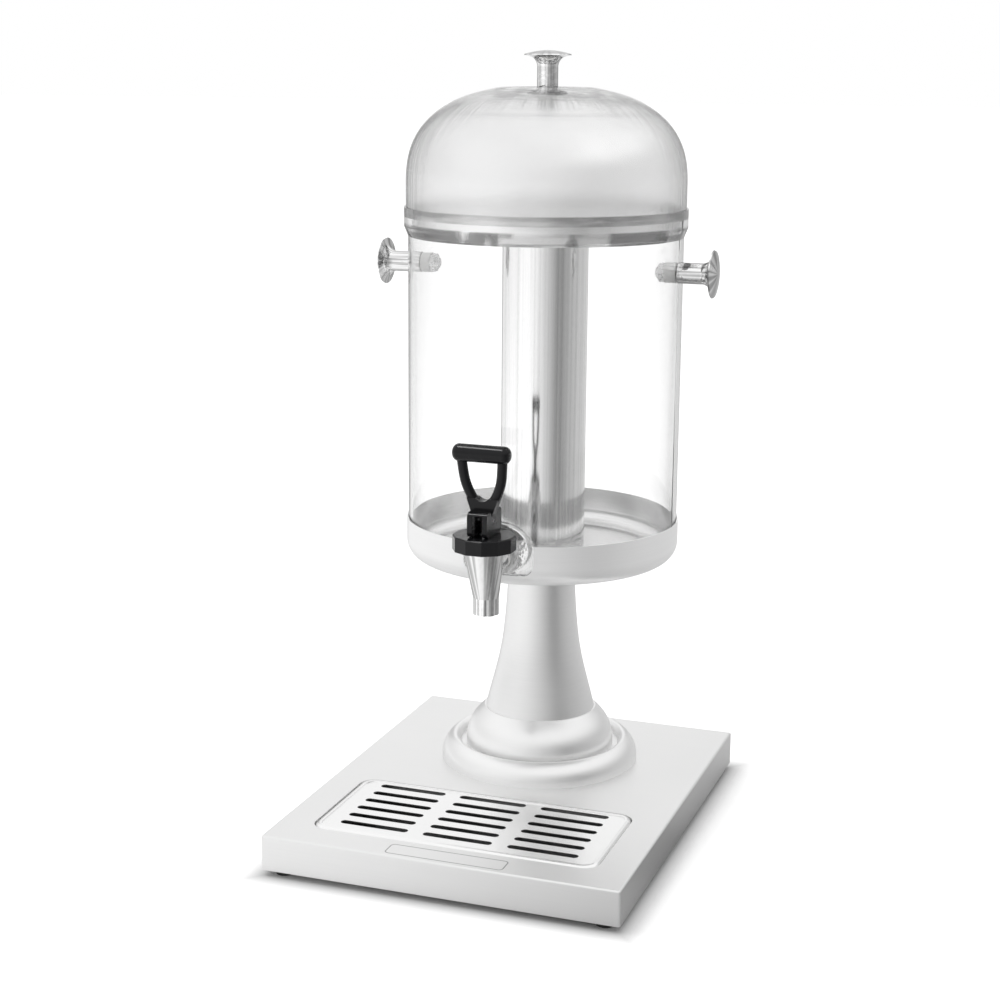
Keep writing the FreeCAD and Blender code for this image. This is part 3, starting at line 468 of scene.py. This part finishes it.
def barrel_plastic():
    """Clear plastic with painted shade at its edges and the moulded rim's dark refractions painted
    in, and a glassy tap boss.
    """
    tree = new_material("clear_barrel_plastic")
    x, y, z = tree.from_axis()
    haze = tree.noise(tree.position(), BARREL_HAZE, 3.0)
    upright = tree.span(tree.math("ABSOLUTE", tree.normal()[2]), *UPRIGHT_WALL, 1.0, 0.0)
    # Painted shade: the upright walls are darker seen edge on
    edge = tree.between(upright, 1.0, tree.ramp(tree.facing(), BARREL_EDGE_SHADE))
    glassy = glassy_places(tree, x, y, z)
    strength, depth = GLASSY_BUMP
    swirl = tree.marks(tree.position(), GLASSY_SWIRL)
    return tree.surface(Base_Color=tree.tint(tree.product(edge, rim_shade(tree, x, y, z))),
                        Metallic=tree.product(glassy, GLASSY_METALLIC),
                        Roughness=tree.span(haze, *EVEN, *BARREL_ROUGHNESS),
                        Normal=tree.bump(swirl, tree.product(glassy, strength), depth),
                        Transmission_Weight=1.0, IOR=BARREL_IOR)


def lid_plastic():
    """Clear plastic with a silvery gloss, clearer at its edges and round the dimple, with painted
    shade: darker edges, streaks, flange and crest rings.
    """
    tree = new_material("clear_lid_plastic")
    z = tree.parts(tree.position())[2]
    crest = tree.span(z, LID_TOP - LID_CLEAR_CREST, LID_TOP - LID_CLEAR_CREST / 4, 0.0, 1.0)
    clear = tree.larger(crest, tree.span(tree.facing(), *LID_CLEAR_EDGE, 0.0, 1.0))
    dome = tree.span(z, *[FLANGE_TOP + height for height in DOME_FOOT], 0.0, 1.0)
    gloss = tree.product(tree.between(dome, *LID_GLOSS), tree.between(clear, 1.0, LID_CLEAR_GLOSS))
    upright = tree.marks(tree.ringed(*STREAK_SCALES))
    turned = tree.noise(tree.ringed(*CREST_SCALES))
    streaks = tree.between(crest, upright, turned)
    # Painted shade: dark streaks where the lid is clear, copying refracted streaks
    painted_streak_shade = tree.span(streaks, *STREAK_CONTRAST, STREAK_SHADE_TONE, 1.0)
    flange = tree.band(z, BARREL_TOP + FLANGE_BAND[0], FLANGE_TOP + FLANGE_BAND[1], FLANGE_SOFT)
    # Painted shade: the flange band is greyer
    painted_flange_shade = tree.span(tree.noise(tree.ringed(*FLANGE_SCALES)), *FIRM, *FLANGE_SHADE_TONES)
    # Painted shade: darker seen edge on, along the streaks where clear, and on the flange
    shade = tree.product(tree.ramp(tree.facing(), LID_EDGE_SHADE), tree.between(clear, 1.0, painted_streak_shade),
                         tree.between(flange, 1.0, painted_flange_shade))
    # Painted shade: thin dark rings near the crest
    for drop, width, tone in LID_RINGS:
        ring = tree.band(z, LID_TOP - drop, LID_TOP - drop + width, width)
        shade = tree.product(shade, tree.between(ring, 1.0, tone))
    bump = tree.bump(streaks, tree.between(clear, *LID_BUMP), LID_BUMP_DEPTH)
    return tree.surface(Base_Color=tree.tint(shade), Metallic=gloss, Normal=bump,
                        Roughness=tree.between(clear, *LID_ROUGHNESS),
                        Transmission_Weight=1.0, IOR=LID_IOR)


# Opaque plastics and rubbers

# Dark and light tones
BLACK_PLASTIC = ((0.006, 0.006, 0.007), (0.011, 0.011, 0.012))
FOOT_RUBBER = ((0.02, 0.02, 0.02), (0.04, 0.04, 0.04))
SEAL_RUBBER = ((0.74, 0.74, 0.72), (0.84, 0.84, 0.82))
SLEEVE_PLASTIC = ((0.88, 0.88, 0.87), (0.96, 0.96, 0.95))
BLACK_GRAIN = 700.0
BLACK_WEAR = 90.0
BLACK_ROUGHNESS = (0.10, 0.18)
BLACK_BUMP = 0.04
BLACK_SPECULAR = 0.22
RUBBER_GRAIN = 900.0
RUBBER_SPREAD = 0.08
RUBBER_BUMP = 0.2


def black_plastic():
    tree = new_material("black_gloss_plastic")
    grain = tree.noise(tree.position(), BLACK_GRAIN)
    wear = tree.noise(tree.position(), BLACK_WEAR, 4.0)
    return tree.surface(Base_Color=tree.grey(wear, *BLACK_PLASTIC),
                        Roughness=tree.span(wear, *EVEN, *BLACK_ROUGHNESS),
                        Normal=tree.bump(grain, BLACK_BUMP, MARK_DEPTH),
                        Specular_IOR_Level=BLACK_SPECULAR)


def rubber(name, tones, roughness):
    tree = new_material(name)
    grain = tree.noise(tree.position(), RUBBER_GRAIN, 3.0)
    rough = tree.span(grain, *SOFT, roughness - RUBBER_SPREAD, roughness + RUBBER_SPREAD)
    return tree.surface(Base_Color=tree.grey(grain, *tones), Roughness=rough,
                        Normal=tree.bump(grain, RUBBER_BUMP, MARK_DEPTH))


def dress(material, *nodes):
    for name in nodes:
        mesh = NODES[name].data
        mesh.materials.clear()
        mesh.materials.append(material)


def dress_all():
    dress(brushed_steel("etched_base_steel", BASE_STEEL, 0.34, framed=True), "base_shell")
    dress(brushed_steel("brushed_base_steel", BASE_STEEL, 0.34),
          "bottom_cover", "stiffener", "corner_posts")
    dress(brushed_steel("bright_grille_steel", GRILLE_STEEL, 0.20, metallic=0.95), "drip_grille")
    # Painted shade: the drip tray's steel is darkened under the grille
    dress(brushed_steel("painted_shade_tray_steel", TRAY_SHADE_STEEL, 0.5), "drip_tray")
    dress(spun_steel("spun_column_steel", STEEL, 0.33, bump=0.08), "column", "column_top_disc")
    dress(spun_steel("spun_foot_steel", FOOT_STEEL, 0.33, bump=0.05), "column_collar", "foot_ring")
    dress(holder_steel(), "barrel_holder")
    dress(polished_tube(), "ice_tube")
    # The third number is how dark the painted reflection streaks get
    dress(chrome("chrome_side_knobs", 0.05, 0.45, "side_knob_left", 0),
          "side_knob_left", "side_knob_right")
    dress(chrome("chrome_lid_knob", 0.05, 0.60, "lid_knob", 2), "lid_knob")
    dress(chrome("chrome_tap", 0.04, 0.55, "tap_bonnet", 2), "tap_body")
    dress(barrel_plastic(), "barrel")
    dress(lid_plastic(), "lid_dome")
    dress(black_plastic(), "tap_bonnet", "tap_handle")
    dress(rubber("black_foot_rubber", FOOT_RUBBER, 0.7),
          "foot_front_left", "foot_front_right", "foot_back_left", "foot_back_right")
    dress(rubber("white_seal_rubber", SEAL_RUBBER, 0.45),
          "ice_tube_gasket", "lid_knob_gasket", "lid_knob_washer", "tap_outer_gasket",
          "tap_inner_gasket", "stem_seal", "seat_cup")
    dress(rubber("white_sleeve_plastic", SLEEVE_PLASTIC, 0.35),
          "side_knob_sleeve_left", "side_knob_sleeve_right")
    dress(fastener_steel("satin_fastener_steel", FASTENER_STEEL, 1.0),
          "foot_screws", "tie_rod", "tie_rod_washers", "tie_rod_nuts", "ice_tube_nut",
          "side_knob_stud_left", "side_knob_stud_right", "lid_knob_stud", "lid_knob_nut",
          "tap_nut", "tap_stem", "handle_pin", "tap_spring")
    dress(fastener_steel("bright_cap_nut_steel", CAP_NUT_STEEL, 0.55),
          "side_knob_nut_left", "side_knob_nut_right")


# Studio

WHITE = (1.0, 1.0, 1.0, 1.0)
FLOOR_SIZE = 60.0
# The floor's painted shadow: its grey beside the base, and from FLOOR_DARK_REACH away from it
FLOOR_SHADOW_GREYS = (0.66, 0.95)
FLOOR_DARK_REACH = 0.014
# The floor's own glow far from the base and how far out it gets there, both seen and mirrored; held
# off beside the base, it leaves the painted shadow dark
FLOOR_GLOW_START = -0.002
FLOOR_GLOW_FAR = (0.40, 0.26)
FLOOR_GLOW_REACH = (0.024, 0.60)
SOFT_LIGHT = 0.80
# What polished pieces mirror, as (degrees from the front towards the right, brightness)
MIRRORED = ((-180, 0.45), (-174, 0.45), (-169, 0.92), (-151, 0.92), (-146, 0.40), (-138, 0.40),
            (-132, 0.76), (-115, 0.80), (-75, 0.85), (-40, 0.95), (-15, 0.88), (10, 0.67),
            (35, 0.42), (52, 0.24), (68, 0.24), (82, 0.36), (105, 0.46), (140, 0.54),
            (158, 0.55), (172, 0.60))
MIRRORED_ABOVE = 1.0
MIRRORED_ABOVE_FROM = (0.22, 0.58)
KEY_LIGHT = {"place": (-1.3, -0.2, 2.2), "target": (0.0, 0.0, 0.2), "size": (1.6, 1.6),
             "power": 14.0}
GLINT_LIGHT = {"place": (-0.67, -0.30, 2.1), "target": (0.0, -0.1, 0.27), "size": (1.0, 0.12),
               "power": 7.0}
LIGHT_BOUNCES = 24
GLOSSY_BOUNCES = 8


def mirrored_level(tree, x, y):
    """The brightness that lies in the direction x, y from the dispenser's axis."""
    share = tree.math("DIVIDE", tree.math("ADD", tree.azimuth(x, y), math.pi), 2.0 * math.pi)
    return tree.ramp(share, [((angle + 180.0) / 360.0, level) for angle, level in MIRRORED])


def in_mirror(tree, path):
    """1 in what a polished piece mirrors, and 0 elsewhere."""
    return tree.math("MINIMUM", path["Glossy Depth"], 1.0)


def studio_world():
    world = bpy.data.worlds.new("studio")
    bpy.context.scene.world = world
    tree = Tree(world)
    x, y, z = tree.parts(tree.add("ShaderNodeTexCoord").outputs["Generated"])
    path = tree.add("ShaderNodeLightPath").outputs
    seen = tree.larger(path["Is Camera Ray"], path["Is Transmission Ray"])
    plain = tree.between(seen, SOFT_LIGHT, 1.0)
    above = tree.span(z, *MIRRORED_ABOVE_FROM, 0.0, 1.0)
    mirrored = tree.between(above, mirrored_level(tree, x, y), MIRRORED_ABOVE)
    level = tree.between(in_mirror(tree, path), plain, mirrored)
    background = tree.add("ShaderNodeBackground", Color=WHITE, Strength=level)
    output = tree.add("ShaderNodeOutputWorld")
    tree.links.new(background.outputs[0], output.inputs[0])


def floor_paper():
    """White paper with a painted shadow close to the base, that glows to plain white further out."""
    tree = new_material("studio_floor")
    x, y, z = tree.parts(tree.position())
    path = tree.add("ShaderNodeLightPath").outputs
    mirror = in_mirror(tree, path)
    mirrored = mirrored_level(tree, x, tree.minus(y, AXIS_Y))
    level = tree.between(mirror, 1.0, mirrored)
    seen = tree.larger(tree.larger(path["Is Camera Ray"], path["Is Transmission Ray"]),
                       path["Is Glossy Ray"])
    from_base = tree.larger(tree.minus(tree.math("ABSOLUTE", x), BASE_HIGH.x),
                            tree.minus(tree.math("ABSOLUTE", y), BASE_HIGH.y))
    # Painted shadow: the paper is greyer close to the base
    grey = tree.span(from_base, 0.0, FLOOR_DARK_REACH, *FLOOR_SHADOW_GREYS)
    paper = tree.add("ShaderNodeBsdfDiffuse", Color=tree.tint(tree.product(level, grey)))
    reach = tree.between(mirror, *FLOOR_GLOW_REACH)
    far = tree.between(mirror, *FLOOR_GLOW_FAR)
    strength = tree.span(from_base, FLOOR_GLOW_START, reach, 0.0, far)
    glow = tree.add("ShaderNodeEmission", Color=WHITE,
                    Strength=tree.product(seen, level, strength))
    both = tree.add("ShaderNodeAddShader")
    tree.links.new(paper.outputs[0], both.inputs[0])
    tree.links.new(glow.outputs[0], both.inputs[1])
    output = tree.add("ShaderNodeOutputMaterial")
    tree.links.new(both.outputs[0], output.inputs["Surface"])
    return tree.owner


def floor():
    mesh = bpy.data.meshes.new("floor")
    half = FLOOR_SIZE / 2
    corners = [(-half, -half, 0), (half, -half, 0), (half, half, 0), (-half, half, 0)]
    mesh.from_pydata(corners, [], [(0, 1, 2, 3)])
    plane = bpy.data.objects.new("floor", mesh)
    bpy.context.scene.collection.objects.link(plane)
    mesh.materials.append(floor_paper())


def softbox(name, place, target, size, power):
    """A rectangular lamp that shows neither in mirrors nor through clear pieces."""
    data = bpy.data.lights.new(name, "AREA")
    data.shape = "RECTANGLE"
    data.size, data.size_y = size
    data.energy = power
    lamp = bpy.data.objects.new(name, data)
    turn = (Vector(target) - Vector(place)).to_track_quat("-Z", "Y")
    lamp.matrix_world = Matrix.Translation(place) @ turn.to_matrix().to_4x4()
    lamp.visible_glossy = False
    lamp.visible_transmission = False
    bpy.context.scene.collection.objects.link(lamp)
    return lamp


def glint_strip(*nodes):
    """A long lamp that lights these nodes alone, for the thin highlights along them."""
    lamp = softbox("overhead_glint", **GLINT_LIGHT)
    lamp.visible_glossy = True
    receivers = bpy.data.collections.new("overhead_glint_receivers")
    for node in nodes:
        receivers.objects.link(NODES[node])
    lamp.light_linking.receiver_collection = receivers


def studio():
    bpy.context.scene.view_settings.view_transform = "Standard"
    studio_world()
    floor()
    softbox("key", **KEY_LIGHT)
    glint_strip("tap_handle", "tap_bonnet")


def let_light_through():
    """More bounces than the default, and no shadows from the clear pieces."""
    cycles = bpy.context.scene.cycles
    cycles.max_bounces = LIGHT_BOUNCES
    cycles.transmission_bounces = LIGHT_BOUNCES
    cycles.glossy_bounces = GLOSSY_BOUNCES
    for node in ("barrel", "lid_dome"):
        NODES[node].visible_shadow = False


def shorten_spring():
    """Gives the spring a mesh of its own. On the tap its foot rises with the stem while its head
    stays under the bonnet; this does not move it.
    """
    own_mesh(NODES["tap_spring"])


photo_camera()
let_light_through()
dress_all()
shorten_spring()
studio()
